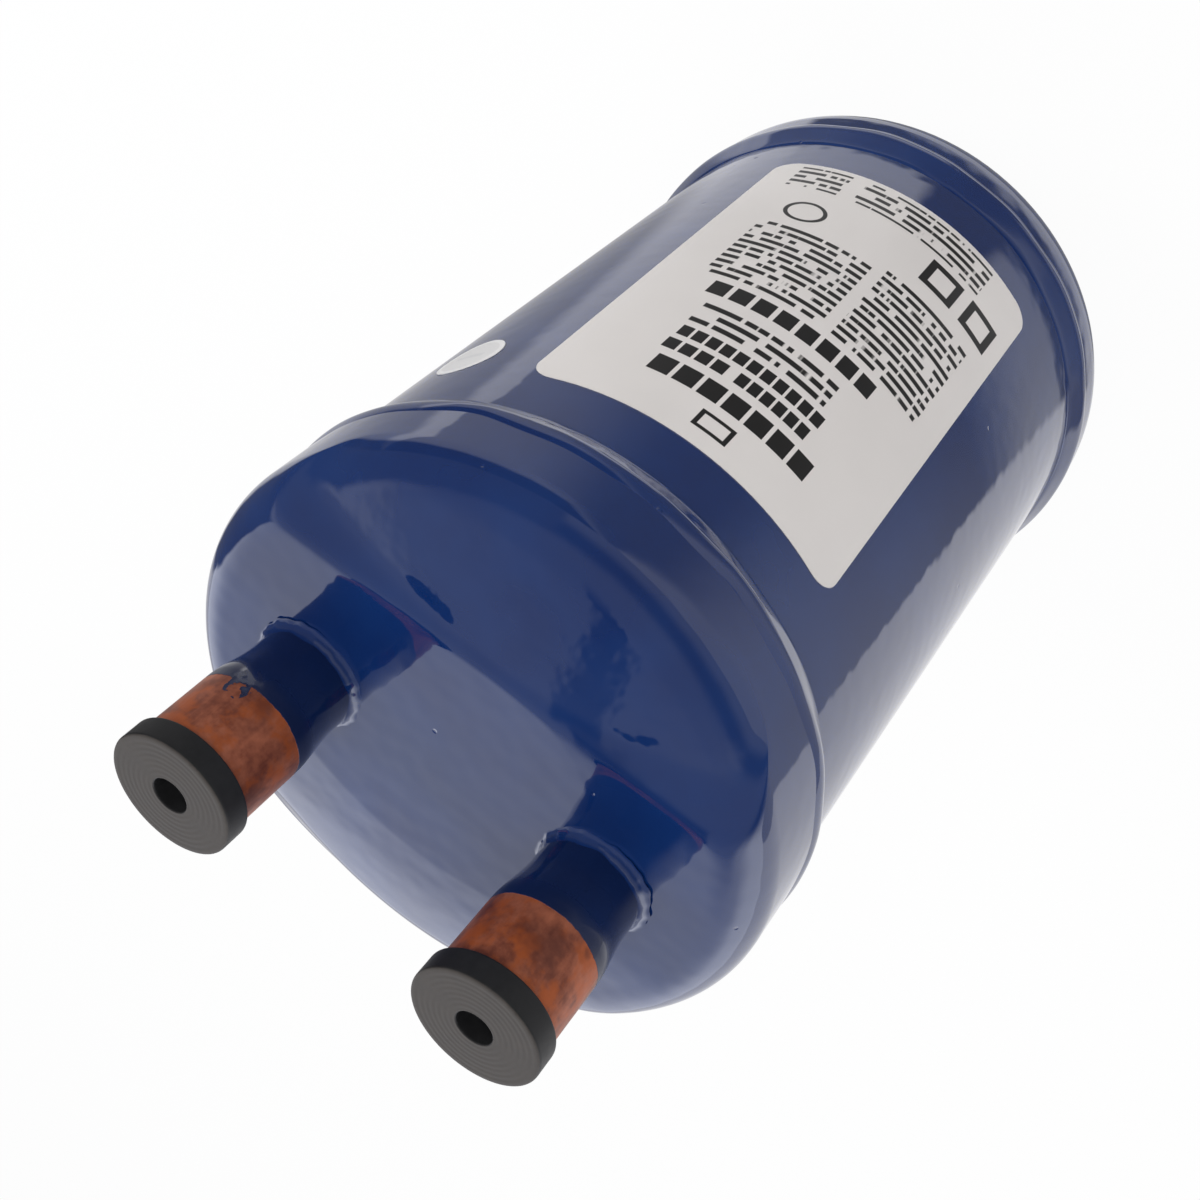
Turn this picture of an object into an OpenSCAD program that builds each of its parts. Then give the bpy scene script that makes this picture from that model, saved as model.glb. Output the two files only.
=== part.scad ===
// Suction line accumulator: a welded steel shell with two dished heads, copper stubs for
// soldering and a pick-up tube inside. Millimetres, upright on the flat of the bottom head.

/* [Shell] */
// Outside diameter of the body tube
tube_od = 127; // [114:1:144]
// Wall of the body tube
tube_wall = 2; // [1.2:0.1:4]
// Distance between the edges of the two head skirts
skirt_span = 156.5; // [150:0.5:260]
// Length of tube inside the top head's skirt
top_overlap = 10; // [6:0.5:12]
// Length of tube inside the bottom head's skirt
bottom_overlap = 8; // [4:0.5:8]
// Radial clearance between the tube and a skirt
skirt_clear = 0.1; // [0.05:0.05:0.3]

/* [Heads] */
// Wall of the pressed heads
head_wall = 2; // [1.2:0.1:4]
// Height of the top head's straight skirt
top_skirt_h = 12.5; // [12.5:0.5:16]
// Height of the bottom head's straight skirt
bottom_skirt_h = 8.5; // [8.5:0.5:12]
// Outside radius of the top head's knuckle, between skirt and dish
top_knuckle_r = 10.5; // [6:0.5:14]
// Outside radius of the top head's dish
top_dish_r = 240; // [180:5:400]
// Outside radius of the bottom head's knuckle
bottom_knuckle_r = 15; // [8:0.5:25]
// Outside radius of the bottom head's dish
bottom_dish_r = 81.7; // [81.7:0.1:160]
// Diameter of the flat that the bottom head stands on
foot_d = 40; // [20:1:60]

/* [Flat for the stubs] */
// Height of the flat above the skirt edge of the top head
pad_h = 28; // [26:0.5:30]
// Width of the flat across the line of the stubs
pad_w = 66; // [50:1:80]
// Outside radius of the bend at the two ends of the flat
pad_bend_r = 10; // [5:0.5:12]
// Slope of the flank in front of the flat, in degrees
pad_front_angle = 40; // [25:1:60]
// Slope of the flank behind the flat, in degrees
pad_back_angle = 14; // [12:1:60]

/* [Welds] */
// Length of a weld bead along the tube
weld_leg = 5.5; // [2:0.5:8]
// Length by which a bead laps over the skirt
weld_lap = 2.5; // [1:0.5:6]
// Height of the bead over the skirt
weld_over = 0.7; // [0.1:0.1:1.2]
// Height of the bead's crown above the chord of its face
weld_crown = 0.8; // [0.1:0.1:1]

/* [Stubs] */
// Distance between the two stub axes
stub_spacing = 68.2; // [60:0.2:78]
// Outside diameter of the stub tube
stub_od = 22.2; // [15:0.1:26]
// Wall of the stub tube and its socket
stub_wall = 1.1; // [0.8:0.1:2]
// Height of a stub above the flat
stub_h = 33.4; // [31:0.2:60]
// Depth of the solder socket
socket_depth = 16; // [12:0.5:20]
// Radial clearance of a tube in a socket or sleeve
socket_clear = 0.08; // [0.05:0.01:0.2]
// Length of the flare between stub tube and socket
flare_h = 12; // [2:0.5:14]
// Length of a stub below the inner face of the flat
stub_tail = 14; // [8:0.5:30]
// Radial clearance of a stub in the hole of the head
stub_hole_clear = 0.1; // [0.05:0.05:0.3]
// Leg of the braze fillet on the head
braze_leg = 1.9; // [1:0.1:4]
// Height of the braze fillet on the stub
braze_h = 2.6; // [1:0.1:5]

/* [Plugs] */
// Diameter of a plug's flange
plug_flange_d = 26.9; // [24:0.1:36]
// Thickness of a plug's flange
plug_flange_h = 5.3; // [2:0.1:8]
// Length of the spigot inside the socket
plug_spigot_h = 14; // [8:0.5:17]
// Radial clearance of the spigot
plug_clear = 0.05; // [0.02:0.01:0.2]
// Diameter of the blind hole in a plug
plug_hole_d = 7.6; // [4:0.2:12]
// Wall left at the bottom of the blind hole
plug_floor = 4; // [2:0.5:8]
// Chamfer on the edges of a plug
plug_chamfer = 0.6; // [0.2:0.1:1]

/* [Pick-up tube] */
// Radius of the U-bend at the middle of the tube
bend_r = 26; // [24:0.5:32]
// Turn of the U-tube away from the line of the stubs, in degrees
u_turn_angle = 35; // [25:1:60]
// Room between the U-bend and the inside of the bottom head
u_floor_gap = 14; // [11:0.5:30]
// Drop of the open end below the inner face of the flat
open_end_drop = 20; // [15:1:60]
// Length of the sleeve that joins the U-tube to the stub
coupling_h = 20; // [12:1:24]
// Gap between the two tube ends inside the sleeve
tube_end_gap = 0.2; // [0.1:0.1:1]
// Diameter of the anti-siphon hole
siphon_hole_d = 2; // [1:0.1:4]
// Drop of the anti-siphon hole below the sleeve
siphon_hole_drop = 10; // [4:1:30]
// Thickness of the strap between the legs
strap_t = 2; // [1:0.5:4]
// Width of strap around each leg
strap_rim = 4; // [3:0.5:8]
// Height of the strap above the U-bend's centre
strap_rise = 60; // [20:1:90]

/* [Inlet deflector] */
// Wall of the deflector cup
deflector_wall = 1.2; // [0.8:0.1:2]
// Length of the collar round the stub
deflector_collar = 7; // [4:0.5:7.5]
// Height of the side windows
window_h = 16; // [8:0.5:24]
// Width of a side window
window_w = 17; // [8:0.5:20]

/* [Oil return] */
// Diameter of the fitting in the U-bend
orifice_d = 8; // [5:0.5:10]
// Bore of the fitting
orifice_bore = 1.8; // [0.8:0.1:3]
// Depth of the fitting inside the tube
orifice_depth = 1.5; // [1:0.1:3]
// Diameter of the fitting's collar and of the screen
screen_d = 15; // [12:0.5:20]
// Thickness of the collar
collar_t = 1.6; // [1:0.1:3]
// Height of the screen
screen_h = 6; // [4:0.5:8]
// Wall of the screen
screen_wall = 0.7; // [0.5:0.1:1.5]
// Width of a slot in the screen
slot_w = 1; // [0.6:0.1:1.6]
// Number of slots in the screen
slot_count = 14; // [8:1:20]
// Thickness of the disc that closes the screen
screen_cap_t = 1; // [0.6:0.1:2]

/* [Label] */
// Angle that the label covers on the tube, in degrees
label_angle = 68; // [40:1:100]
// Height of the label
label_h = 119; // [60:1:130]
// Distance of the label from the top head's skirt edge
label_drop = 18.5; // [10:0.5:24]
// Turn of the label's middle from the front, in degrees
label_turn_angle = -4; // [-20:1:20]
// Lean of the label on the tube, in degrees
label_lean_angle = 1.5; // [-4:0.5:4]
// Corner radius of the label
label_corner = 5; // [2:0.5:12]
// Thickness of the label and of the sticker
label_t = 0.15; // [0.1:0.05:0.4]
// Glue line under the label
glue_t = 0.03; // [0.01:0.01:0.1]
// Diameter of the round sticker
sticker_d = 15.2; // [10:0.2:20]
// Distance of the sticker's middle from the top head's skirt edge
sticker_drop = 26.5; // [20:0.5:60]
// Turn of the sticker from the front, in degrees
sticker_turn_angle = 46.8; // [44:0.2:80]

/* [Hidden] */
$fn = 96;
// Overlap of cutting shapes past the faces they cut
cut = 1;

tube_r = tube_od / 2;
skirt_in_r = tube_r + skirt_clear;
skirt_r = skirt_in_r + head_wall;

// Height of a dish's centre on the axis above the skirt edge, with the knuckle tangent to it
function dish_centre(h, knuckle_r, dish_r) =
  h - sqrt(pow(dish_r - knuckle_r, 2) - pow(skirt_r - knuckle_r, 2));

// Depth of the bottom head from its skirt edge to the flat
foot_depth = dish_centre(bottom_skirt_h, bottom_knuckle_r, bottom_dish_r)
  + sqrt(pow(bottom_dish_r, 2) - pow(foot_d / 2, 2));

// Heights of the skirt edges, the flat and the stub ends
bottom_edge_z = foot_depth;
top_edge_z = bottom_edge_z + skirt_span;
pad_z = top_edge_z + pad_h;
pad_under_z = pad_z - head_wall;
stub_top_z = pad_z + stub_h;
stub_end_z = pad_under_z - stub_tail;

// Stub section
stub_r = stub_od / 2;
stub_bore_r = stub_r - stub_wall;
socket_bore_r = stub_r + socket_clear;
socket_r = socket_bore_r + stub_wall;
stub_x = stub_spacing / 2;
stub_hole_r = stub_r + stub_hole_clear;

// U-tube: the open leg stands at bend_r * 2 from the outlet leg
u_inner_floor_z = head_wall;
bend_z = u_inner_floor_z + u_floor_gap + stub_r + bend_r;
u_top_z = stub_end_z - tube_end_gap;
open_end_z = pad_under_z - open_end_drop;
coupling_mid_z = stub_end_z - tube_end_gap / 2;
bend_low_z = bend_z - bend_r - stub_r;

// Deflector cup round the inner end of the inlet stub
deflector_in_r = stub_r + socket_clear;
deflector_r = deflector_in_r + deflector_wall;
deflector_top_z = stub_end_z + deflector_collar;
deflector_floor_z = stub_end_z - window_h;

// Half section of a dished head with a skirt of height h, inset by a distance, standing on its skirt edge
module dish_section(inset, h, knuckle_r, dish_r) {
  knuckle_x = skirt_r - knuckle_r;
  centre_z = dish_centre(h, knuckle_r, dish_r);
  reach = 2 * dish_r / (h - centre_z);
  square([skirt_r - inset, h]);
  translate([knuckle_x, h])
    circle(knuckle_r - inset);
  intersection() {
    translate([0, centre_z])
      circle(dish_r - inset, $fn = 4 * $fn);
    polygon([
      [0, h / 2],
      [knuckle_x - knuckle_x / (h - centre_z) * h / 2, h / 2],
      [knuckle_x * reach, centre_z + (h - centre_z) * reach],
      [0, centre_z + (h - centre_z) * reach]
    ]);
  }
}

// Half section of the cup that shapes the two ends of the flat, inset by a distance
module cup_section(inset) {
  bend_z0 = pad_h - pad_bend_r;
  square([skirt_r - inset, bend_z0]);
  square([skirt_r - pad_bend_r, pad_h - inset]);
  translate([skirt_r - pad_bend_r, bend_z0])
    circle(pad_bend_r - inset);
}

// Ridge with sloping flanks that runs along the line of the stubs, inset by a distance
module pad_ridge(inset) {
  top = pad_h - inset;
  front_y = pad_w / 2 - inset * tan(pad_front_angle / 2);
  front_toe_y = front_y + top / tan(pad_front_angle);
  back_y = pad_w / 2 - inset * tan(pad_back_angle / 2);
  back_toe_y = back_y + top / tan(pad_back_angle);
  rotate([90, 0, 90])
    linear_extrude(height = 2 * skirt_r + 2 * cut, center = true)
      polygon([[-front_toe_y, 0], [back_toe_y, 0], [back_y, top], [-front_y, top]]);
}

// Solid form of the top head: a dish pressed flat along the line of the stubs
module top_head_form(inset) {
  intersection() {
    union() {
      rotate_extrude()
        dish_section(inset, top_skirt_h, top_knuckle_r, top_dish_r);
      intersection() {
        rotate_extrude()
          cup_section(inset);
        pad_ridge(inset);
      }
    }
    cylinder(h = pad_h - inset, r = skirt_r + cut);
  }
}

// Solid form of the bottom head, upside down on its skirt edge
module bottom_head_form(inset) {
  intersection() {
    rotate_extrude()
      dish_section(inset, bottom_skirt_h, bottom_knuckle_r, bottom_dish_r);
    cylinder(h = foot_depth - inset, r = skirt_r + cut);
  }
}

// The bore of a skirt of height h, from its open edge
module skirt_bore(h) {
  translate([0, 0, -cut])
    cylinder(h = h + cut, r = skirt_in_r);
}

module shell_tube() {
  tube_l = bottom_overlap + skirt_span + top_overlap;
  color("midnightblue")
    translate([0, 0, bottom_edge_z - bottom_overlap])
      difference() {
        cylinder(h = tube_l, r = tube_r);
        translate([0, 0, -cut])
          cylinder(h = tube_l + 2 * cut, r = tube_r - tube_wall);
      }
}

module top_head() {
  color("midnightblue")
    translate([0, 0, top_edge_z])
      difference() {
        top_head_form(0);
        top_head_form(head_wall);
        skirt_bore(top_skirt_h);
        for (side = [-1, 1])
          translate([side * stub_x, 0, top_skirt_h])
            cylinder(h = pad_h, r = stub_hole_r);
      }
}

module bottom_head() {
  color("midnightblue")
    translate([0, 0, bottom_edge_z])
      mirror([0, 0, 1])
        difference() {
          bottom_head_form(0);
          bottom_head_form(head_wall);
          skirt_bore(bottom_skirt_h);
        }
}

// Bead in the step between tube and skirt: a crowned face from the tube to the skirt's edge,
// then a quarter of an ellipse down to the toe on the skirt
module weld_bead() {
  toe = [tube_r, -weld_leg];
  crest = [skirt_r + weld_over, 0];
  chord = crest - toe;
  normal = [chord[1], -chord[0]] / norm(chord);
  steps = 6;
  face = [for (i = [0 : steps])
    toe + chord * i / steps + normal * weld_crown * sin(180 * i / steps)];
  lap = [for (i = [1 : steps])
    [skirt_r + weld_over * cos(90 * i / steps), weld_lap * sin(90 * i / steps)]];
  rotate_extrude()
    polygon(concat(face, lap, [[skirt_r, 0], [tube_r, 0]]));
}

module top_weld() {
  color("midnightblue")
    translate([0, 0, top_edge_z])
      weld_bead();
}

module bottom_weld() {
  color("midnightblue")
    translate([0, 0, bottom_edge_z])
      mirror([0, 0, 1])
        weld_bead();
}

// Copper stub on its own axis: tube through the head, an S-shaped flare and the solder socket
module stub() {
  socket_z = stub_top_z - socket_depth;
  lip = stub_wall / 4;
  steps = 8;
  flare = [for (i = [0 : steps])
    [stub_r + (socket_r - stub_r) * (1 - cos(180 * i / steps)) / 2, socket_z - flare_h * (1 - i / steps)]];
  rotate_extrude()
    polygon(concat(
      [[stub_bore_r, stub_end_z], [stub_r, stub_end_z]],
      flare,
      [[socket_r, stub_top_z - lip], [socket_r - lip, stub_top_z], [socket_bore_r, stub_top_z],
       [socket_bore_r, socket_z], [stub_bore_r, socket_z]]
    ));
}

module inlet_stub() {
  color("peru")
    translate([-stub_x, 0, 0])
      stub();
}

module outlet_stub() {
  color("peru")
    translate([stub_x, 0, 0])
      stub();
}

// Hollow fillet of braze metal round a stub
module braze_fillet() {
  steps = 6;
  face = [for (i = [0 : steps])
    [stub_r + braze_leg * (1 - sin(90 * i / steps)), pad_z + braze_h * (1 - cos(90 * i / steps))]];
  rotate_extrude()
    polygon(concat([[stub_r, pad_z]], face));
}

module inlet_braze() {
  color("midnightblue")
    translate([-stub_x, 0, 0])
      braze_fillet();
}

module outlet_braze() {
  color("midnightblue")
    translate([stub_x, 0, 0])
      braze_fillet();
}

// Shipping plug: a flange on the end of the socket, a spigot inside and a blind hole
module plug() {
  spigot_r = socket_bore_r - plug_clear;
  flange_r = plug_flange_d / 2;
  face_z = stub_top_z + plug_flange_h;
  tip_z = stub_top_z - plug_spigot_h;
  hole_r = plug_hole_d / 2;
  rotate_extrude()
    polygon([
      [0, tip_z], [spigot_r - plug_chamfer, tip_z], [spigot_r, tip_z + plug_chamfer],
      [spigot_r, stub_top_z], [flange_r, stub_top_z], [flange_r, face_z - plug_chamfer],
      [flange_r - plug_chamfer, face_z], [hole_r, face_z], [hole_r, tip_z + plug_floor],
      [0, tip_z + plug_floor]
    ]);
}

module inlet_plug() {
  color("dimgray")
    translate([-stub_x, 0, 0])
      plug();
}

module outlet_plug() {
  color("dimgray")
    translate([stub_x, 0, 0])
      plug();
}

// Cup on the inner end of the inlet stub, open at two sides
module inlet_deflector() {
  floor_z = deflector_floor_z - deflector_wall;
  color("silver")
    translate([-stub_x, 0, 0])
      difference() {
        translate([0, 0, floor_z])
          cylinder(h = deflector_top_z - floor_z, r = deflector_r);
        translate([0, 0, deflector_floor_z])
          cylinder(h = deflector_top_z - deflector_floor_z + cut, r = deflector_in_r);
        translate([0, 0, deflector_floor_z + window_h / 2])
          cube([window_w, 2 * deflector_r + 2 * cut, window_h], center = true);
      }
}

// Places what follows on the outlet leg's axis, with +X toward the open leg
module on_u_plane() {
  translate([stub_x, 0, 0])
    rotate([0, 0, 180 - u_turn_angle])
      children();
}

// Solid rod in the shape of the U-tube
module u_rod(r, extra) {
  translate([0, 0, bend_z])
    cylinder(h = u_top_z - bend_z + extra, r = r);
  translate([2 * bend_r, 0, bend_z])
    cylinder(h = open_end_z - bend_z + extra, r = r);
  translate([bend_r, 0, bend_z])
    rotate([90, 0, 0])
      rotate_extrude(angle = -180)
        translate([bend_r, 0])
          circle(r);
}

module u_tube() {
  color("peru")
    on_u_plane()
      difference() {
        u_rod(stub_r, 0);
        u_rod(stub_bore_r, cut);
        translate([bend_r, 0, bend_low_z - cut])
          cylinder(h = stub_wall + orifice_depth + cut, r = orifice_d / 2 + socket_clear);
        translate([0, 0, coupling_mid_z - coupling_h / 2 - siphon_hole_drop])
          rotate([0, 90, 0])
            cylinder(h = stub_r + cut, r = siphon_hole_d / 2);
      }
}

module u_tube_coupling() {
  color("peru")
    translate([stub_x, 0, coupling_mid_z - coupling_h / 2])
      difference() {
        cylinder(h = coupling_h, r = socket_r);
        translate([0, 0, -cut])
          cylinder(h = coupling_h + 2 * cut, r = socket_bore_r);
      }
}

module u_tube_strap() {
  rim_r = stub_r + strap_rim;
  color("silver")
    on_u_plane()
      translate([0, 0, bend_z + strap_rise])
        linear_extrude(height = strap_t)
          difference() {
            union() {
              for (x = [0, 2 * bend_r])
                translate([x, 0])
                  circle(rim_r);
              translate([0, -rim_r])
                square([2 * bend_r, 2 * rim_r]);
            }
            for (x = [0, 2 * bend_r])
              translate([x, 0])
                circle(stub_r + socket_clear);
          }
}

// Places what follows under the lowest point of the U-bend
module under_bend() {
  on_u_plane()
    translate([bend_r, 0, bend_low_z])
      children();
}

module oil_orifice() {
  color("goldenrod")
    under_bend()
      difference() {
        union() {
          translate([0, 0, -collar_t])
            cylinder(h = collar_t + stub_wall + orifice_depth, r = orifice_d / 2);
          translate([0, 0, -collar_t - socket_clear])
            cylinder(h = collar_t, r = screen_d / 2);
        }
        translate([0, 0, -collar_t - cut])
          cylinder(h = collar_t + stub_wall + orifice_depth + 2 * cut, r = orifice_bore / 2);
      }
}

module oil_screen() {
  slot_h = screen_h / 2;
  color("goldenrod")
    under_bend()
      translate([0, 0, -collar_t - socket_clear - screen_h])
        difference() {
          cylinder(h = screen_h, r = screen_d / 2);
          translate([0, 0, -cut])
            cylinder(h = screen_h + 2 * cut, r = screen_d / 2 - screen_wall);
          for (i = [0 : slot_count - 1])
            rotate([0, 0, i * 360 / slot_count])
              translate([screen_d / 2 - 2 * screen_wall, -slot_w / 2, (screen_h - slot_h) / 2])
                cube([3 * screen_wall, slot_w, slot_h]);
        }
}

module screen_cap() {
  color("goldenrod")
    under_bend()
      translate([0, 0, -collar_t - socket_clear - screen_h - screen_cap_t])
        cylinder(h = screen_cap_t, r = screen_d / 2);
}

// Thin skin on the tube, in the outline that its child gives, seen from the front
module tube_skin(turn) {
  rotate([0, 0, turn])
    intersection() {
      translate([0, 0, bottom_edge_z])
        difference() {
          cylinder(h = skirt_span, r = tube_r + glue_t + label_t);
          translate([0, 0, -cut])
            cylinder(h = skirt_span + 2 * cut, r = tube_r + glue_t);
        }
      rotate([90, 0, 0])
        linear_extrude(height = tube_od)
          children();
    }
}

module label() {
  half = tube_r * sin(label_angle / 2);
  color("whitesmoke")
    tube_skin(label_turn_angle)
      translate([0, top_edge_z - label_drop - label_h / 2])
        rotate(label_lean_angle) {
          square([2 * (half - label_corner), label_h], center = true);
          square([2 * half, label_h - 2 * label_corner], center = true);
          for (x = [-1, 1], z = [-1, 1])
            translate([x * (half - label_corner), z * (label_h / 2 - label_corner)])
              circle(label_corner);
        }
}

module round_sticker() {
  color("whitesmoke")
    tube_skin(sticker_turn_angle)
      translate([0, top_edge_z - sticker_drop])
        circle(d = sticker_d);
}

shell_tube();
top_head();
bottom_head();
top_weld();
bottom_weld();
inlet_stub();
outlet_stub();
inlet_braze();
outlet_braze();
inlet_plug();
outlet_plug();
inlet_deflector();
u_tube();
u_tube_coupling();
u_tube_strap();
oil_orifice();
oil_screen();
screen_cap();
label();
round_sticker();
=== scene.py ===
"""Looks of a suction line accumulator: blue gloss paint on a welded shell, copper stubs, black plugs."""

import math

import bpy
import numpy as np
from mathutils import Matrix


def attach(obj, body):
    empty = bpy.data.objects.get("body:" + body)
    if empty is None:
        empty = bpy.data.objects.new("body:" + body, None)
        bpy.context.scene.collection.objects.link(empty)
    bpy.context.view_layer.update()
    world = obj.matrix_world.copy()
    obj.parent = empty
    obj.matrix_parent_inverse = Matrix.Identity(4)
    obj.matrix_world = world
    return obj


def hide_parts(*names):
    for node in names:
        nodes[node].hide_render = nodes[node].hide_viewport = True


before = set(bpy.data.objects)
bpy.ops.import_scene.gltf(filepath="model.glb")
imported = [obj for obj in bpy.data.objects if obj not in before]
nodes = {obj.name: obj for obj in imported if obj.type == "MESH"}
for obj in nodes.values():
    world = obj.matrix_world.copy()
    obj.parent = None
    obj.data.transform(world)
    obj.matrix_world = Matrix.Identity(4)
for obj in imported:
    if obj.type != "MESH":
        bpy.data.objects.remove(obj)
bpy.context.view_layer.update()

MM = 0.001

# Sizes of the part, in millimetres
TUBE_R = 63.5
SKIRT_R = 65.6
EDGE_TOP = 200.76
EDGE_BOTTOM = 44.26
SKIRT_H = 12.5
KNUCKLE_R = 10.5
KNUCKLE_FULLER_BEHIND = 2.5
KNUCKLE_BLEND = 34.0
DISH_R = 240.0
PAD_H = 28.0
PAD_HALF = 33.0
CREASE_IN = 2.2
CREASE_SKEW = 0.03
CREASE_SPAN = 45.0
CREASE_SOFT = 1.6
BEND_SOFT = 2.0
DOME_SOFT = 3.0
PAD_BEND_R = 10.0
PAD_FLANK = math.tan(math.radians(40.0))
PAD_BACK = math.tan(math.radians(14.0))
WELD_LEG = 5.5
WELD_LAP = 2.5
WELD_OVER = 0.65
STUB_X = 34.1
STUB_R = 11.1
STUB_WALL = 1.1
STUB_END = 212.76
STUB_TOP = 262.16
SOCKET_R = 12.28
SOCKET_Z = 246.16
FLARE_H = 12.0
BRAZE_LEG = 1.9
BRAZE_H = 2.6
PAINT_LINE = 247.0
PLUG_TIP = 248.16
PLUG_FACE = 267.45
SPIGOT_R = 11.13
FLANGE_R = 13.45
PLUG_HOLE_R = 3.8
PLUG_FLOOR = 4.0
LABEL_R = 63.7
LABEL_MID_Z = EDGE_TOP - 18.5 - 59.5
LABEL_TURN = math.radians(-4.0)
LABEL_LEAN = math.radians(1.5)
STICKER_TURN = math.radians(46.8)
STICKER_Z = EDGE_TOP - 26.5

# Line on the floor where its tone changes in reflections: y + slope * x + shift = 0
LINE_SLOPE = 0.238
LINE_SHIFT = 37.0
LINE_UNIT = 0.973

# Lamps: name, place and side in metres, power in watts
LAMPS = (("key", (-0.3, -1.0, 1.4), 1.2, 16.0), ("fill", (1.2, -0.2, 1.0), 0.8, 9.5),
         ("top", (-0.1, 0.8, 1.5), 1.0, 4.5))
LAMP_AIM = (0.0, 0.0, 0.15)

# Camera, fitted to the photograph
CAMERA_AT = (-60.66, -249.05, 402.57)
CAMERA_TURN = (-35.731, 30.034, -159.924)
CAMERA_LENS = 47.74
CAMERA_SHIFT = (-0.0316, -0.0434)


# Surfaces

def skin(name, points, loop=False, first=None, last=None):
    """Mesh over a grid of points (rows, columns, 3) in millimetres. The last column joins the first; loop
    joins the last row to the first; first and last are points that close those rows with a fan."""
    rows, cols = points.shape[:2]
    index = np.arange(rows * cols).reshape(rows, cols)
    index = np.concatenate([index, index[:, :1]], 1)
    if loop:
        index = np.concatenate([index, index[:1]], 0)
    faces = np.stack([index[:-1, :-1], index[:-1, 1:], index[1:, 1:], index[1:, :-1]], -1)
    faces = faces.reshape(-1, 4).tolist()
    places = points.reshape(-1, 3)
    for tip, row, turn in ((first, index[0], -1), (last, index[-1], 1)):
        if tip is not None:
            fan = np.stack([np.full(cols, len(places)), row[:-1], row[1:]], -1)
            faces += (fan if turn > 0 else fan[:, [0, 2, 1]]).tolist()
            places = np.concatenate([places, [tip]], 0)
    mesh = bpy.data.meshes.new(name)
    mesh.from_pydata((places * MM).tolist(), [], faces)
    mesh.polygons.foreach_set("use_smooth", np.ones(len(faces), bool))
    mesh.update(calc_edges=True)
    piece = bpy.data.objects.new(name, mesh)
    bpy.context.scene.collection.objects.link(piece)
    return piece


def rounded(corners):
    """Open profile of radius and height through corners, each given with its own radius: a curve that blends
    the two legs by squares, and a point just outside each end of it to keep the legs straight."""
    spots = np.array([c[:2] for c in corners])
    size = np.array([c[2] for c in corners])[:, None, None]
    before, after = np.roll(spots, 1, 0) - spots, np.roll(spots, -1, 0) - spots
    reach_b, reach_a = np.linalg.norm(before, axis=1)[:, None], np.linalg.norm(after, axis=1)[:, None]
    before, after = before / reach_b, after / reach_a
    t = np.linspace(0.0, 1.0, 6)[None, :, None]
    arc = spots[:, None] + size * (before[:, None] * (1.0 - t) ** 2 + after[:, None] * t ** 2)
    lead = spots[:, None] + before[:, None] * size * 1.3
    tail = spots[:, None] + after[:, None] * size * 1.3
    bends = np.concatenate([lead, arc, tail], 1)[1:-1].reshape(-1, 2)
    return np.concatenate([spots[:1], bends, spots[-1:]], 0)


def turned_skin(name, profile, axis_x, loop=False, first=None, last=None):
    """Profile of radius and height turned round an upright axis that stands at axis_x on the x axis."""
    turn = np.linspace(0.0, 2.0 * math.pi, 160, endpoint=False)
    r, z = profile[:, :1], profile[:, 1:]
    points = np.stack([axis_x + r * np.cos(turn), r * np.sin(turn), z + 0.0 * turn], -1)
    return skin(name, points, loop, first, last)


def stub_skin(name, axis_x):
    """Copper stub: outside up the tube, a cosine flare to the socket, over the lip and down the bore."""
    rise = np.linspace(0.0, 1.0, 24)
    flare = np.stack([STUB_R + (SOCKET_R - STUB_R) * (1.0 - np.cos(math.pi * rise)) / 2.0,
                      SOCKET_Z - FLARE_H * (1.0 - rise)], -1)
    socket_in, stub_in = SOCKET_R - STUB_WALL, STUB_R - STUB_WALL
    rest = rounded([(SOCKET_R, SOCKET_Z, 0.0), (SOCKET_R, STUB_TOP, 0.35), (socket_in, STUB_TOP, 0.2),
                    (socket_in, SOCKET_Z, 0.1), (stub_in, SOCKET_Z, 0.1), (stub_in, STUB_END, 0.1),
                    (STUB_R, STUB_END, 0.1), (STUB_R, STUB_END + 1.0, 0.0)])
    return turned_skin(name, np.concatenate([flare, rest[1:]], 0), axis_x, loop=True)


def plug_skin(name, axis_x):
    """Plug: spigot tip, up the spigot, out under the flange, over its face and down the blind hole."""
    floor_z = PLUG_TIP + PLUG_FLOOR
    profile = rounded([(0.5, PLUG_TIP, 0.0), (SPIGOT_R, PLUG_TIP, 0.5), (SPIGOT_R, STUB_TOP, 0.1),
                       (FLANGE_R, STUB_TOP, 0.4), (FLANGE_R, PLUG_FACE, 0.6),
                       (PLUG_HOLE_R, PLUG_FACE, 0.35), (PLUG_HOLE_R, floor_z, 0.2), (0.5, floor_z, 0.0)])
    tip, floor = (axis_x, 0.0, PLUG_TIP), (axis_x, 0.0, floor_z)
    return turned_skin(name, profile, axis_x, first=tip, last=floor)


def braze_skin(name, axis_x, seed):
    """Hollow fillet from the flat to the stub: a quarter ellipse whose leg wavers round the stub."""
    turn = np.linspace(0.0, 2.0 * math.pi, 200, endpoint=False)
    rise = np.linspace(0.0, math.pi / 2.0, 14)[:, None]
    leg = BRAZE_LEG + 0.25 * waves(turn, (5, 9, 14, 23), seed) - 0.2
    r = STUB_R - 0.03 + leg * (1.0 - np.sin(rise))
    height = BRAZE_H * (1.0 + 0.1 * waves(turn, (4, 7, 11), seed + 1))
    z = EDGE_TOP + PAD_H - 0.02 + height * (1.0 - np.cos(rise))
    points = np.stack([axis_x + r * np.cos(turn), r * np.sin(turn), z], -1)
    return skin(name, points)


def soft_max(a, b, k):
    """Larger of a and b, rounded over a width k where they cross."""
    d = np.clip(1.0 - np.abs(a - b) / k, 0.0, None)
    return np.maximum(a, b) + d * d * k / 4.0


def soft_min(a, b, k):
    """Smaller of a and b, rounded over a width k where they cross."""
    return -soft_max(-a, -b, k)


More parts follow.
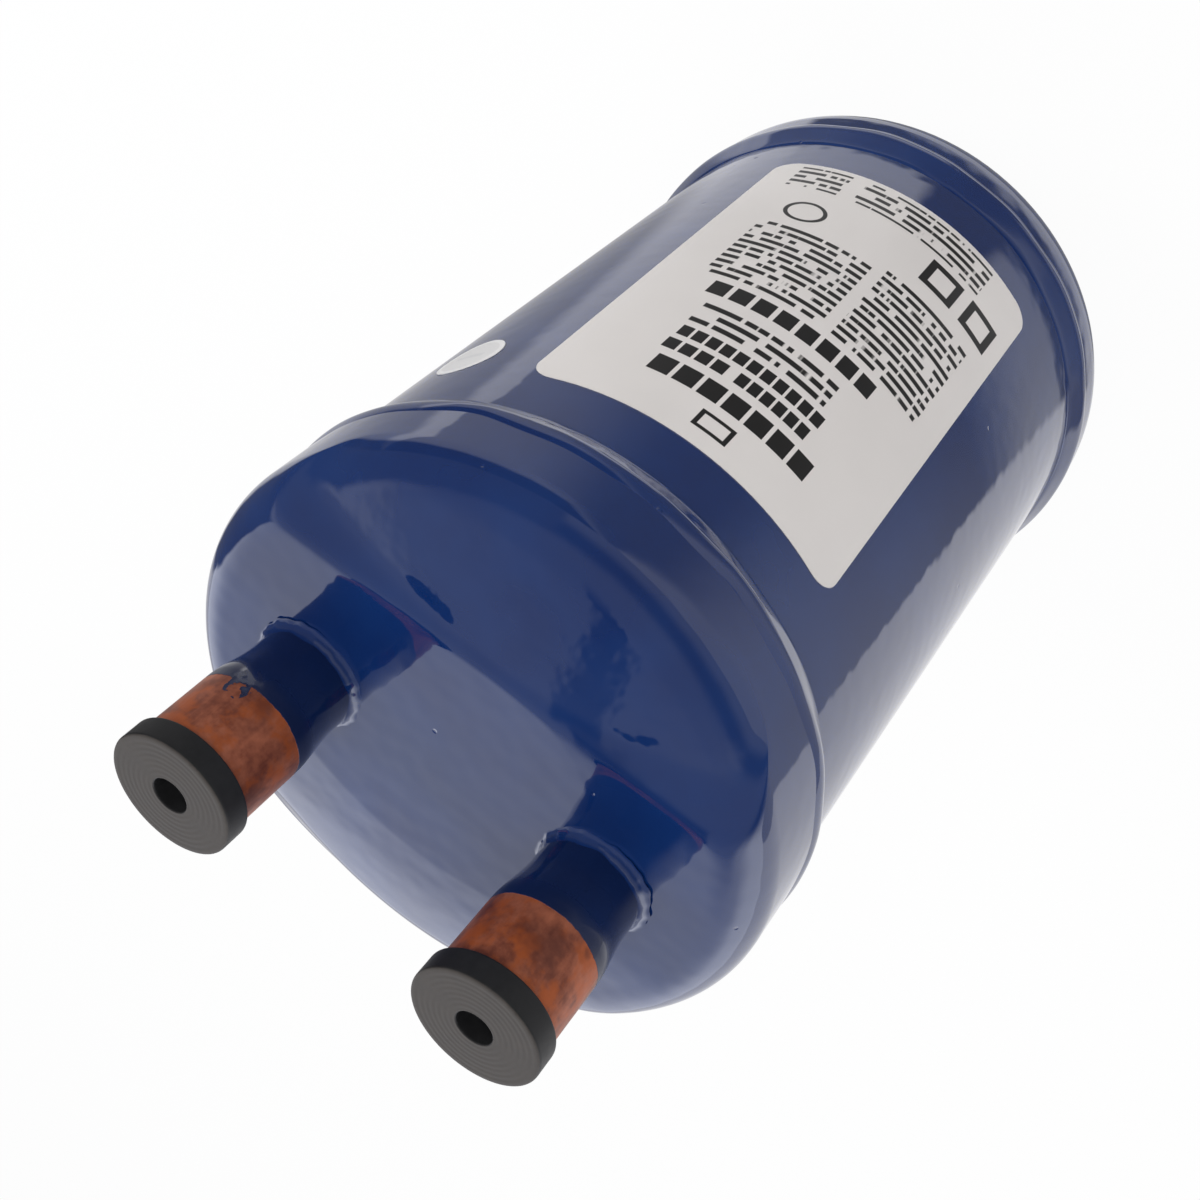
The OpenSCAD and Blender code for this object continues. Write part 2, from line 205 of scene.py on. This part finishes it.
def waves(angle, orders, seed):
    """Sum of cosines round the axis, one for each order, with fixed random phases, about -1..1."""
    phase = np.random.default_rng(seed).uniform(0.0, 2.0 * math.pi, len(orders))
    total = sum(np.cos(n * angle + p) for n, p in zip(orders, phase))
    return total / math.sqrt(len(orders))


def head_top(x, y):
    """Height of the top head over its skirt edge: a dish with a rounded knuckle, fuller behind, joined softly
    to a flat ridge that runs along x between sloping flanks and bends down at its two ends. The front crease
    of the ridge is set in a little and runs slightly askew."""
    r = np.minimum(np.hypot(x, y), SKIRT_R)
    back = np.clip(y / KNUCKLE_BLEND, 0.0, 1.0)
    knuckle_r = KNUCKLE_R + KNUCKLE_FULLER_BEHIND * back * back * (3.0 - 2.0 * back)
    knuckle_x = SKIRT_R - knuckle_r
    centre = SKIRT_H - np.sqrt((DISH_R - knuckle_r) ** 2 - knuckle_x ** 2)
    tangent = knuckle_x * DISH_R / (DISH_R - knuckle_r)
    dish = centre + np.sqrt(DISH_R ** 2 - np.minimum(r, tangent) ** 2)
    outer = np.clip(r - knuckle_x, 0.0, None)
    knuckle = SKIRT_H + np.sqrt(np.clip(knuckle_r ** 2 - outer ** 2, 0.0, None))
    dome = np.where(r < tangent, dish, knuckle)
    outer = np.clip(r - SKIRT_R + PAD_BEND_R, 0.0, None)
    bend = PAD_H - PAD_BEND_R + np.sqrt(np.clip(PAD_BEND_R ** 2 - outer ** 2, 0.0, None))
    inset = CREASE_IN - CREASE_SKEW * np.clip(x, -CREASE_SPAN, CREASE_SPAN)
    half = PAD_HALF - np.where(y < 0.0, inset, 0.0)
    past = np.clip(np.abs(y) - half, -20.0, None)
    flank = PAD_H - past * np.where(y < 0.0, PAD_FLANK, PAD_BACK)
    ridge = soft_min(bend, soft_min(flank, np.full_like(y, PAD_H), CREASE_SOFT), BEND_SOFT)
    back = np.clip((y - 14.0) / 20.0, 0.0, 1.0)
    soft = 0.8 + 3.2 * back * back * (3.0 - 2.0 * back)
    whole = soft_min(soft_max(dome, ridge, DOME_SOFT), np.full_like(y, PAD_H + 0.2), soft)
    return np.minimum(whole, PAD_H)


def top_head_skin():
    """Grid of radius and angle: the radius runs to the rim as a sine so that rows crowd at the bend, the
    height comes from head_top, then the wall drops from the rim to the skirt edge and turns in under it."""
    turn = np.linspace(0.0, 2.0 * math.pi, 360, endpoint=False)
    radius = SKIRT_R * np.sin(np.linspace(0.0, math.pi / 2.0, 150)[1:])
    rr, tt = np.meshgrid(radius, turn, indexing="ij")
    x, y = rr * np.cos(tt), rr * np.sin(tt)
    crown = np.stack([x, y, head_top(x, y)], -1)
    rim = crown[-1]
    drop = np.linspace(0.0, 1.0, 12)[1:, None, None]
    wall = rim * np.array([1.0, 1.0, 0.0]) + (1.0 - drop) * rim * np.array([0.0, 0.0, 1.0])
    under = wall[-1:] * np.array([0.97, 0.97, 1.0])
    points = np.concatenate([crown, wall, under], 0)[:, ::-1]
    points = points + np.array([0.0, 0.0, EDGE_TOP])
    return skin("top_head_skin", points, first=(0.0, 0.0, EDGE_TOP + PAD_H))


def bead_skin(name, edge, way, seed):
    """Grid of angle and place across the bead: the section starts inside the tube with a rounded toe, climbs
    as a cone to the skirt and rolls over into it; slow waves move its edges and a few low lumps lift it."""
    turn = np.linspace(0.0, 2.0 * math.pi, 720, endpoint=False)
    across = np.linspace(0.0, 1.0, 28)
    aa, tt = np.meshgrid(across, turn, indexing="ij")
    slow = waves(tt, (3, 5, 8, 13), seed)
    lumps = np.clip(waves(tt, (7, 13, 21, 34), seed + 3) - 0.9, 0.0, None)
    low = -WELD_LEG + 0.3 + 0.3 * slow
    high = WELD_LAP + 1.2 + 0.5 * waves(tt, (5, 8, 13, 21), seed + 2)
    z = low + (high - low) * aa
    toe = 0.35 * (1.0 - np.exp(-aa / 0.05))
    end = np.clip((aa - 0.6) / 0.4, 0.0, 1.0) ** 2
    swell = 0.12 * slow + 0.3 * lumps
    r = TUBE_R - 0.15 + toe + 3.7 * aa + np.sin(math.pi * aa) * swell
    r = soft_min(r, np.full_like(r, SKIRT_R + WELD_OVER), 0.7) - 0.75 * end
    points = np.stack([r * np.cos(tt), r * np.sin(tt), edge + way * z], -1)
    return skin(name, points if way > 0 else points[:, ::-1])


# Shader maths and finishes

class Val:
    """One output socket of a shader tree, with arithmetic that adds Math nodes."""

    def __init__(self, tree, socket):
        self.tree = tree
        self.socket = socket

    def make(self, kind, settings=None, sockets=None, out=0):
        """Adds a node of a kind, with settings and inputs, and gives one of its outputs."""
        node = self.tree.nodes.new(kind)
        for key, value in (settings or {}).items():
            setattr(node, key, value)
        for key, value in (sockets or {}).items():
            if isinstance(value, Val):
                self.tree.links.new(value.socket, node.inputs[key])
            else:
                node.inputs[key].default_value = value
        return Val(self.tree, node.outputs[out])

    def math(self, operation, *others):
        """Adds a Math node on this value and the others."""
        return self.make("ShaderNodeMath", {"operation": operation}, dict(enumerate((self,) + others)))

    def __add__(self, other):
        return self.math("ADD", other)

    __radd__ = __add__

    def __sub__(self, other):
        return self.math("SUBTRACT", other)

    def __rsub__(self, other):
        return (self * -1.0) + other

    def __mul__(self, other):
        return self.math("MULTIPLY", other)

    __rmul__ = __mul__

    def __truediv__(self, other):
        return self.math("DIVIDE", other)

    def __pow__(self, other):
        return self.math("POWER", other)

    def __neg__(self):
        return self * -1.0

    def __abs__(self):
        return self.math("ABSOLUTE")

    def step(self, low, high):
        """0 below low and 1 above high, with a smooth rise between."""
        return self.make("ShaderNodeMapRange", {"interpolation_type": "SMOOTHSTEP"},
                         {"Value": self, "From Min": low, "From Max": high})

    def tint(self, low, high):
        """Colour between low and high by this value."""
        return self.make("ShaderNodeMix", {"data_type": "RGBA"}, {0: self, 6: low, 7: high}, 2)


class Material:
    """A new material with its Principled shader and its object coordinates in millimetres."""

    def __init__(self, name, **constants):
        self.data = bpy.data.materials.new(name)
        self.data.use_nodes = True
        self.tree = self.data.node_tree
        self.shader = self.tree.nodes["Principled BSDF"]
        place = self.tree.nodes.new("ShaderNodeTexCoord").outputs["Object"]
        scaled = Val(self.tree, place).make(
            "ShaderNodeVectorMath", {"operation": "SCALE"}, {0: Val(self.tree, place), "Scale": 1000.0})
        self.place = scaled
        split = scaled.make("ShaderNodeSeparateXYZ", None, {0: scaled})
        self.x = split
        self.y = Val(self.tree, split.socket.node.outputs[1])
        self.z = Val(self.tree, split.socket.node.outputs[2])
        for key, value in constants.items():
            self.shader.inputs[key.replace("_", " ")].default_value = value

    def feed(self, socket, value):
        """Links a value to an input of the shader."""
        self.tree.links.new(value.socket, self.shader.inputs[socket])

    def noise(self, size, detail=2.0, rough=0.5, at=None):
        """Noise with lumps of about the given size in millimetres."""
        return self.place.make("ShaderNodeTexNoise", None, {
            "Vector": at or self.place, "Scale": 1.0 / size, "Detail": detail, "Roughness": rough})

    def bump(self, height, distance):
        """Normal bent by a height, in millimetres times distance."""
        return self.place.make("ShaderNodeBump", None, {
            "Height": height, "Distance": distance * MM, "Strength": 1.0})

    def point(self, x, y, z):
        """Vector of three values."""
        return self.place.make("ShaderNodeCombineXYZ", None, {0: x, 1: y, 2: z})


def srgb(r, g, b):
    """Linear colour of a display colour given in 0..255."""
    return tuple(c / 12.92 if c <= 0.04045 else ((c + 0.055) / 1.055) ** 2.4
                 for c in (r / 255, g / 255, b / 255)) + (1.0,)


BLUE = srgb(14, 46, 101)
BLUE_DEEP = srgb(11, 38, 90)


def paint_coat(m):
    """Colour and height of the blue paint: slow tone shifts, orange peel that is rougher on the front slope
    of the head, and a few pinholes, most of them by the top bead."""
    tone = m.noise(26.0, 3.0)
    colour = tone.step(0.3, 0.7).tint(BLUE_DEEP, BLUE)
    crown = m.z.step(EDGE_TOP + 16.0, EDGE_TOP + 24.0)
    slope = crown * (-m.y).step(32.0, 38.0)
    peel = (0.8 + 0.3 * crown) * m.noise(4.5, 0.0) + (0.06 + 0.34 * slope) * m.noise(2.0, 0.0)
    spots = m.place.make("ShaderNodeTexVoronoi", {"feature": "F1"},
                         {"Vector": m.place, "Scale": 1.0 / 7.0})
    rare = m.noise(19.0, 0.0).step(0.63, 0.68)
    bead = 1.0 - abs(m.z - EDGE_TOP + 1.0).step(3.0, 5.0)
    rare = rare.math("MAXIMUM", bead * m.noise(11.0, 0.0).step(0.50, 0.56))
    pits = (1.0 - spots.step(0.03, 0.09)) * rare
    return colour, peel - 2.2 * pits


def paint():
    """Blue gloss paint."""
    m = Material("blue_paint", Roughness=0.05, IOR=2.03)
    colour, height = paint_coat(m)
    m.feed("Base Color", colour)
    m.feed("Normal", m.bump(height, 0.07))
    return m.data


def copper_coat(m):
    """Colour, roughness and height of drawn copper with orange and brown blotches."""
    blotch = m.noise(8.0, 4.0, 0.6, at=m.point(m.x, m.y, m.z * 0.8))
    fine = m.noise(1.6, 3.0, 0.6)
    lines = m.noise(0.8, 2.0, 0.6, at=m.point(m.x, m.y, m.z * 0.06))
    warm = (0.8 * blotch + 0.22 * fine + 0.08 * lines).step(0.40, 0.72)
    colour = warm.tint(srgb(112, 56, 40), srgb(182, 106, 76))
    orange = m.noise(7.0, 4.0, 0.6, at=m.point(m.x + 40.0, m.y, m.z)).step(0.46, 0.62)
    colour = (0.75 * orange).tint(colour, srgb(180, 88, 36))
    dark = m.noise(9.0, 3.0, 0.6).step(0.50, 0.70)
    colour = (0.6 * dark).tint(colour, srgb(90, 46, 38))
    return colour, 0.34 + 0.2 * fine, lines


def stub_finish():
    """Bare copper above a wavering line and blue paint below it, with a built-up edge; the blue is darkened
    there as painted shade.
    """
    m = Material("stub_finish", IOR=1.5, Coat_IOR=1.8, Coat_Roughness=0.02)
    edge = m.z - PAINT_LINE - 0.7 * (m.noise(9.0, 1.0) - 0.5) - 0.4 * (m.noise(1.2, 2.0) - 0.5)
    round_stub = m.y.math("ARCTAN2", m.x - STUB_X)
    run = (1.0 - abs(round_stub + 1.35).step(0.1, 0.32)) * m.x.step(0.0, 1.0)
    edge = edge - run * 4.5 * m.noise(1.8, 2.0).step(0.38, 0.6)
    bare = edge.step(-0.12, 0.12)
    copper, rough, lines = copper_coat(m)
    blue, peel = paint_coat(m)
    # Painted shade: the shell's blue is mixed half to seven tenths of the way to a near-black blue, a slow
    # noise setting how far.
    stub_blue_painted_shade = (0.5 + 0.2 * m.noise(12.0, 1.0)).tint(blue, srgb(9, 11, 30))
    m.feed("Base Color", bare.tint(stub_blue_painted_shade, copper))
    m.feed("Metallic", 0.35 * bare)
    thin = edge.step(-6.0, -1.5)
    m.feed("Roughness", bare * rough + (1.0 - bare) * (0.2 + 0.25 * thin))
    m.feed("Coat Weight", (1.0 - bare) * (1.0 - 0.85 * thin))
    ridge = (1.0 - edge.step(-0.1, 0.15)) * 3.0 * (0.6 + 0.4 * edge.step(-2.0, 0.0))
    normal = m.bump((1.0 - bare) * (peel + ridge) + bare * 0.5 * lines, 0.06)
    m.feed("Normal", normal)
    return m.data


def copper():
    """Bare copper of the inner tubes."""
    m = Material("copper", Metallic=1.0)
    colour, rough, lines = copper_coat(m)
    m.feed("Base Color", colour)
    m.feed("Roughness", rough)
    m.feed("Normal", m.bump(lines, 0.03))
    return m.data


def rubber():
    """Black plug whose turned face is painted a lighter grey than its near-black sides, as painted light:
    faint rings round each plug's own axis.
    """
    m = Material("black_rubber", IOR=1.45)
    dx = abs(m.x) - STUB_X
    r = (dx * dx + m.y * m.y) ** 0.5
    face = m.z.step(PLUG_FACE - 0.35, PLUG_FACE - 0.05) * r.step(PLUG_HOLE_R + 0.05, PLUG_HOLE_R + 0.3)
    dust = m.noise(2.0, 4.0, 0.65)
    # Painted light: the face is a lighter grey than the near-black sides; the dust noise mottles both.
    grey = (0.5 + 0.9 * (dust - 0.5)).tint(srgb(50, 46, 43), srgb(78, 73, 69))
    side = dust.tint(srgb(24, 24, 25), srgb(40, 40, 41))
    m.feed("Base Color", face.tint(side, grey))
    m.feed("Roughness", 0.42 + 0.2 * dust)
    rings = (r * 5.2).math("SINE") * face
    m.feed("Normal", m.bump(0.25 * rings + 0.5 * dust, 0.05))
    return m.data


def plain_metal(name, dark, light, rough):
    """Bare metal with a fine grain between two tones."""
    m = Material(name, Metallic=1.0)
    grain = m.noise(2.5, 3.0)
    m.feed("Base Color", grain.tint(dark, light))
    m.feed("Roughness", rough + 0.12 * grain)
    return m.data


def field(u, v, left, right, low, high):
    """1 inside a rectangle of the label, in millimetres from its middle, with a soft printed edge."""
    s = 0.07
    return (u.step(left - s, left + s) * (1.0 - u.step(right - s, right + s))
            * v.step(low - s, low + s) * (1.0 - v.step(high - s, high + s)))


def print_rows(m, u, v, left, right, low, high, pitch, word):
    """Rows of plain dashes in a rectangle: each row is a stripe, cut into lengths by noise along it."""
    row = (v / pitch).math("FLOOR")
    stripe = (v / pitch).math("FRACT")
    ink = stripe.step(0.2, 0.28) * (1.0 - stripe.step(0.72, 0.8))
    cut = m.noise(1.0, 1.0, 0.5, at=m.point(u / word, row * 7.3, 0.5)).step(0.40, 0.44)
    return field(u, v, left, right, low, high) * ink * cut


def blocks(u, v, left, right, low, high, pitch, gap):
    """A row of equal blocks between left and right: a rectangle cut by gaps at an even pitch."""
    place = ((u - left) / pitch).math("FRACT")
    return field(u, v, left, right, low, high) * (1.0 - place.step(1.0 - gap - 0.02, 1.0 - gap))


def label_finish():
    """White label: plain bars and dashes stand where the print is, in the label's own flat coordinates."""
    m = Material("label_finish", Roughness=0.3, IOR=1.45, Specular_IOR_Level=0.5)
    angle = m.x.math("ARCTAN2", -m.y) - LABEL_TURN
    along = angle * LABEL_R
    up = m.z - LABEL_MID_Z
    u = along * math.cos(LABEL_LEAN) + up * math.sin(LABEL_LEAN)
    v = up * math.cos(LABEL_LEAN) - along * math.sin(LABEL_LEAN)
    ink = field(u, v, -4.0, 4.0, 49.2, 54.8) * (1.0 - field(u, v, -3.0, 3.0, 50.2, 53.8))
    for box in ((-19.3, 19.4, 40.3, 46.2, 5.55, 0.16), (-14.2, 4.0, 33.6, 37.6, 3.05, 0.18),
                (6.0, 20.5, 33.6, 37.6, 3.65, 0.18), (-15.0, 20.0, 27.8, 31.8, 3.2, 0.18),
                (-18.8, 23.0, 7.6, 13.2, 5.3, 0.2)):
        ink = ink.math("MAXIMUM", blocks(u, v, *box))
    for left in (-33.0, -20.0):
        hollow = 1.0 - field(u, v, left + 2.0, left + 8.0, -41.5, -35.0)
        ink = ink.math("MAXIMUM", field(u, v, left, left + 10.0, -43.5, -33.0) * hollow)
    ring = abs(((u - 20.2) ** 2.0 + (v + 33.6) ** 2.0) ** 0.5 - 4.6)
    ink = ink.math("MAXIMUM", 1.0 - ring.step(0.45, 0.6))
    for box in ((-13.0, 20.0, 16.0, 26.0, 3.3, 2.6), (-30.0, -4.0, -28.0, 5.6, 2.8, 2.2),
                (-1.0, 27.0, -25.2, 5.6, 2.8, 2.2), (-23.0, 14.0, -57.6, -46.0, 2.8, 2.4),
                (18.0, 31.0, -57.6, -46.0, 2.8, 2.4)):
        ink = ink.math("MAXIMUM", print_rows(m, u, v, *box))
    paper = m.noise(30.0, 2.0).tint(srgb(217, 212, 208), srgb(228, 223, 219))
    m.feed("Base Color", (0.98 * ink).tint(paper, srgb(8, 8, 9)))
    m.feed("Normal", m.bump(m.noise(14.0, 1.0), 0.08))
    return m.data


def sticker_finish():
    """Small round sticker: grey white with a paler rim and a plain bar across it."""
    m = Material("sticker_finish", Roughness=0.35, IOR=1.45)
    angle = m.x.math("ARCTAN2", -m.y) - STICKER_TURN
    u = angle * LABEL_R
    v = m.z - STICKER_Z
    r = (u * u + v * v) ** 0.5
    rim = r.step(6.3, 6.6)
    bar = field(u, v, -3.6, 3.6, -0.8, 0.8) * 0.35
    base = rim.tint(srgb(224, 223, 222), srgb(236, 235, 234))
    m.feed("Base Color", bar.tint(base, srgb(196, 196, 198)))
    m.feed("Normal", m.bump(m.noise(5.0, 1.0), 0.05))
    return m.data


def dress(piece, material):
    """Gives a piece one material."""
    piece.data.materials.clear()
    piece.data.materials.append(material)


# Pieces

def fit(piece, node, material):
    """Puts a finished piece in the place of a node of the frame."""
    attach(piece, "root")
    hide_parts(node)
    dress(piece, material)


blue = paint()
stub_coat = stub_finish()
plug_coat = rubber()
fit(top_head_skin(), "top_head", blue)
fit(bead_skin("top_bead", EDGE_TOP, 1.0, 5), "top_weld", blue)
fit(bead_skin("bottom_bead", EDGE_BOTTOM, -1.0, 11), "bottom_weld", blue)
for end, axis_x, seed in (("inlet", -STUB_X, 21), ("outlet", STUB_X, 31)):
    fit(stub_skin(end + "_tube", axis_x), end + "_stub", stub_coat)
    fit(braze_skin(end + "_fillet", axis_x, seed), end + "_braze", blue)
    fit(plug_skin(end + "_stopper", axis_x), end + "_plug", plug_coat)

bare_copper = copper()
steel = plain_metal("plain_steel", srgb(140, 140, 142), srgb(176, 176, 178), 0.3)
brass = plain_metal("yellow_brass", srgb(150, 116, 52), srgb(196, 160, 86), 0.28)
finishes = {
    blue: ("shell_tube", "bottom_head"),
    bare_copper: ("u_tube", "u_tube_coupling"),
    steel: ("inlet_deflector", "u_tube_strap"),
    brass: ("oil_orifice", "oil_screen", "screen_cap"),
    label_finish(): ("label",),
    sticker_finish(): ("round_sticker",),
}
for material, names in finishes.items():
    for name in names:
        dress(nodes[name], material)


# Stage

def lamp(name, at, aim, size, power):
    """Square soft lamp at a place, in metres, turned to a point and not seen in reflections."""
    data = bpy.data.lights.new(name, "AREA")
    data.shape = "SQUARE"
    data.size = size
    data.energy = power
    lamp_object = bpy.data.objects.new(name, data)
    bpy.context.scene.collection.objects.link(lamp_object)
    lamp_object.location = at
    way = np.array(aim) - np.array(at)
    yaw = math.atan2(way[1], way[0]) - math.pi / 2.0
    pitch = math.atan2(way[2], math.hypot(way[0], way[1])) + math.pi / 2.0
    lamp_object.rotation_euler = (pitch, 0.0, yaw)
    lamp_object.visible_glossy = False


def stage_floor():
    """Pale floor: white to the camera with the shadow kept. In reflections it glows with painted tones that
    set the part's reflections: its front part, toward the camera, is darker than its back part and the two
    meet in a straight edge. A bright ring runs round the foot, with paler patches outside it, and the floor
    is dark far off to the right; the ring paints bright bands on the beads."""
    half = 3.0
    mesh = bpy.data.meshes.new("floor")
    corners = [(-half, -half, 0), (half, -half, 0), (half, half, 0), (-half, half, 0)]
    mesh.from_pydata(corners, [], [(0, 1, 2, 3)])
    floor = bpy.data.objects.new("floor", mesh)
    bpy.context.scene.collection.objects.link(floor)
    m = Material("floor", Base_Color=(0.9, 0.9, 0.9, 1.0), Roughness=0.9)
    base = Val(m.tree, m.shader.outputs[0])
    rays = m.tree.nodes.new("ShaderNodeLightPath")
    glossy = Val(m.tree, rays.outputs["Is Glossy Ray"])
    seen = Val(m.tree, rays.outputs["Is Camera Ray"])
    behind = (m.y + LINE_SLOPE * m.x + LINE_SHIFT) * LINE_UNIT
    away = ((m.x + 4.0) ** 2.0 + (m.y + 10.0) ** 2.0) ** 0.5
    ring = (0.25 + 0.75 * away.step(60.0, 64.0)) * (1.0 - away.step(73.0, 76.0))
    patch = 0.85 * m.x.step(4.0, 14.0) + 0.5 * (1.0 - m.x.step(-44.0, -34.0))
    patch = patch * away.step(80.0, 83.0) * (1.0 - away.step(92.0, 125.0))
    front = 0.14 + 0.3 * abs(m.x + 15.0).step(40.0, 220.0)
    front = front + ring.math("MAXIMUM", patch) * (1.0 - front)
    dip = behind.step(30.0, 60.0) * (1.0 - 0.6 * behind.step(80.0, 300.0)) * m.x.step(0.0, 120.0)
    tone = behind.step(-3.0, 3.0)
    tone = tone * (1.0 - 0.5 * dip) + (1.0 - tone) * front
    gap = away.step(450.0, 600.0) * m.x.step(100.0, 200.0) * (1.0 - (m.y - m.x).step(-30.0, 30.0))
    tone = tone * (1.0 - 0.85 * gap)
    # Painted reflections: glossy rays see the floor glow with this tone instead of its lit colour.
    mirrored = base.make("ShaderNodeEmission", None, {
        "Color": tone.tint((0.0, 0.0, 0.0, 1.0), (1.0, 0.99, 1.0, 1.0)), "Strength": 1.0})
    white = base.make("ShaderNodeEmission", None, {"Color": (1.0, 1.0, 1.0, 1.0), "Strength": 1.0})
    shown = base.make("ShaderNodeMixShader", None, {0: glossy, 1: base, 2: mirrored})
    shown = base.make("ShaderNodeMixShader", None, {0: 0.95 * seen, 1: shown, 2: white})
    m.tree.links.new(shown.socket, m.tree.nodes["Material Output"].inputs["Surface"])
    mesh.materials.append(m.data)


def studio_world():
    """Soft room: a pale wall behind that ends to the right, a darker ceiling with one dim strip, a dim wall
    in front; white to the camera itself."""
    world = bpy.data.worlds.new("studio")
    bpy.context.scene.world = world
    world.use_nodes = True
    tree = world.node_tree
    way = Val(tree, tree.nodes.new("ShaderNodeTexCoord").outputs["Generated"])
    split = way.make("ShaderNodeSeparateXYZ", None, {0: way})
    x = Val(tree, split.socket.node.outputs[0])
    y = Val(tree, split.socket.node.outputs[1])
    up = Val(tree, split.socket.node.outputs[2])
    behind = 1.4 - 0.66 * up.step(0.22, 0.6) - 0.46 * up.step(0.58, 0.80) - 0.06 * up.step(0.82, 0.97)
    before = 0.26 - 0.18 * up.step(0.05, 0.42) + 0.13 * up.step(0.54, 0.80)
    streak = x.step(-0.02, 0.02) * (1.0 - x.step(0.07, 0.11)) * up.step(0.72, 0.8)
    behind = behind - 0.17 * streak
    side = y.step(-0.25, 0.3)
    tone = side * behind + (1.0 - side) * before
    gap = x.step(0.2, 0.3) * (1.0 - (y - x).step(-0.04, 0.04)) * (1.0 - up.step(0.56, 0.72))
    tone = tone * (1.0 - gap) + 0.12 * gap
    seen = Val(tree, tree.nodes.new("ShaderNodeLightPath").outputs["Is Camera Ray"])
    # A mix holds its factor to 1, so the tone is halved and its colour doubled.
    colour = (tone * 0.5).tint((0.0, 0.0, 0.0, 1.0), (1.91, 1.94, 2.06, 1.0))
    colour = seen.tint(colour, (1.0, 1.0, 1.0, 1.0))
    tree.links.new(colour.socket, tree.nodes["Background"].inputs["Color"])


stage_floor()
for name, at, size, power in LAMPS:
    lamp(name, at, LAMP_AIM, size, power)
studio_world()

camera_data = bpy.data.cameras.new("camera")
camera_data.sensor_width = 36.0
camera_data.lens = CAMERA_LENS
camera_data.shift_x, camera_data.shift_y = CAMERA_SHIFT
camera_data.clip_start = 0.01
camera = bpy.data.objects.new("camera", camera_data)
bpy.context.scene.collection.objects.link(camera)
camera.location = [c * MM for c in CAMERA_AT]
camera.rotation_euler = [math.radians(a) for a in CAMERA_TURN]
bpy.context.scene.camera = camera
bpy.context.scene.view_settings.view_transform = "Standard"
